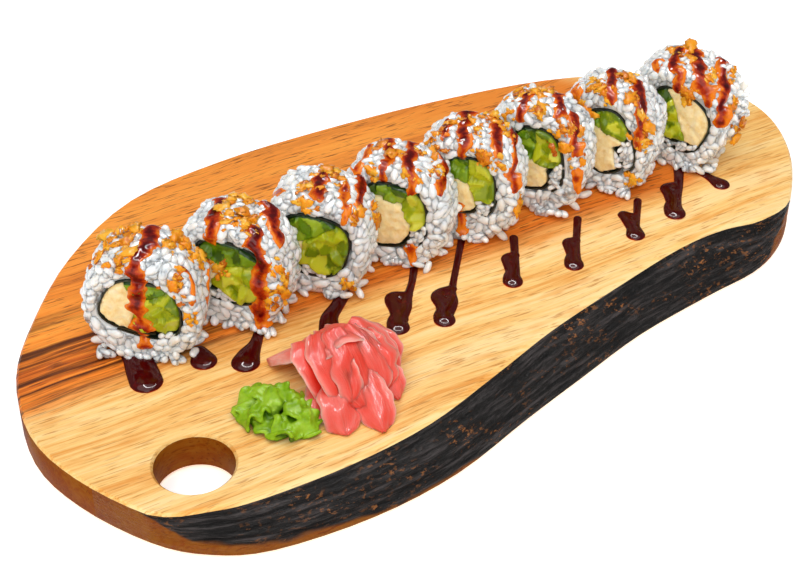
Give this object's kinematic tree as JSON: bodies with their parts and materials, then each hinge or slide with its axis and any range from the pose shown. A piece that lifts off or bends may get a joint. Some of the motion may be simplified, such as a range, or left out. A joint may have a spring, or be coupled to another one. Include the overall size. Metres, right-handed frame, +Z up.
{
  "type": "uramaki roll on a serving board",
  "caption": "Inside-out sushi roll cut into slices with sweet dark sauce and crispy flakes, on a live-edge wooden serving board with pickled ginger and wasabi.",
  "frame": {"origin": "centre of the bounding box in plan, on the underside of the board", "axes": "+X along the board, from the hanging hole's end to the other; +Y away from the charred live edge; +Z up"},
  "size_m": [0.361, 0.207, 0.0631],
  "materials": {
    "acacia": "oiled, satin; charred along the live edge",
    "rice": "moist, glossy grains",
    "nori": "damp, satin",
    "omelette": "soft, moist",
    "cucumber": "wet, glossy",
    "avocado": "creamy, satin",
    "pickled_ginger": "wet, translucent",
    "wasabi": "smooth paste"
  },
  "bodies": {
    "root": {"board": "acacia", "rice_1": "rice", "nori_1": "nori", "omelette_1": "omelette", "cucumber_1": "cucumber", "avocado_1": "avocado", "rice_2": "rice", "nori_2": "nori", "omelette_2": "omelette", "cucumber_2": "cucumber", "avocado_2": "avocado", "rice_3": "rice", "nori_3": "nori", "omelette_3": "omelette", "cucumber_3": "cucumber", "avocado_3": "avocado", "rice_4": "rice", "nori_4": "nori", "omelette_4": "omelette", "cucumber_4": "cucumber", "avocado_4": "avocado", "rice_5": "rice", "nori_5": "nori", "omelette_5": "omelette", "cucumber_5": "cucumber", "avocado_5": "avocado", "rice_6": "rice", "nori_6": "nori", "omelette_6": "omelette", "cucumber_6": "cucumber", "avocado_6": "avocado", "rice_7": "rice", "nori_7": "nori", "omelette_7": "omelette", "cucumber_7": "cucumber", "avocado_7": "avocado", "rice_8": "rice", "nori_8": "nori", "omelette_8": "omelette", "cucumber_8": "cucumber", "avocado_8": "avocado", "rice_inside_2": "rice", "rice_inside_4": "rice", "rice_inside_5": "rice", "rice_inside_6": "rice", "rice_inside_7": "rice", "rice_inside_8": "rice", "ginger": "pickled_ginger", "wasabi": "wasabi"}
  },
  "joints": []
}
